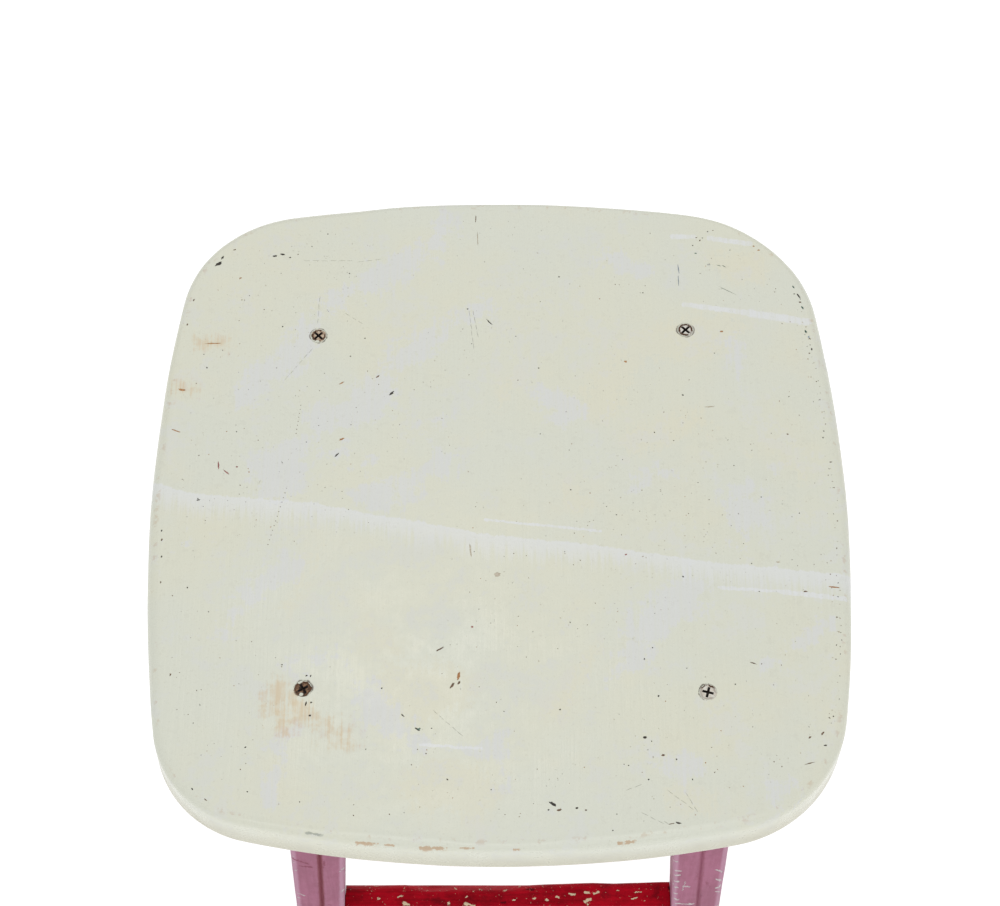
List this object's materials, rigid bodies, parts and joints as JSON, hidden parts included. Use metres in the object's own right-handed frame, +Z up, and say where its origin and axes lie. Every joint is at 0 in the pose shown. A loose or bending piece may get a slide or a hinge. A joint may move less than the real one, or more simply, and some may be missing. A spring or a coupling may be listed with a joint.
{
  "type": "milking stool",
  "caption": "Low wooden stool: a rounded-square seat screwed to splayed, tapered legs joined by tenoned aprons and foot rails.",
  "frame": {"origin": "on the floor, under the middle of the seat's outline", "axes": "+Z up, -Y towards the front (the side seen nearest in the picture), +X to the right seen from the front"},
  "size_m": [0.34, 0.362, 0.35],
  "materials": {
    "seat_paint": "worn cream gloss paint on wood, chipped and stained",
    "leg_paint": "dull mauve paint on wood, cream undercoat showing in chips",
    "rail_paint": "red paint on wood, rubbed and chipped by feet",
    "screw_steel": "rusty steel with remains of cream paint"
  },
  "bodies": {
    "root": {"seat": "seat_paint", "leg_front_left": "leg_paint", "leg_front_right": "leg_paint", "leg_back_left": "leg_paint", "leg_back_right": "leg_paint", "apron_front": "leg_paint", "apron_back": "leg_paint", "apron_left": "leg_paint", "apron_right": "leg_paint", "rail_front": "rail_paint", "rail_back": "rail_paint", "rail_left": "rail_paint", "rail_right": "rail_paint", "screw_front_left": "screw_steel", "screw_front_right": "screw_steel", "screw_back_left": "screw_steel", "screw_back_right": "screw_steel"}
  },
  "joints": []
}
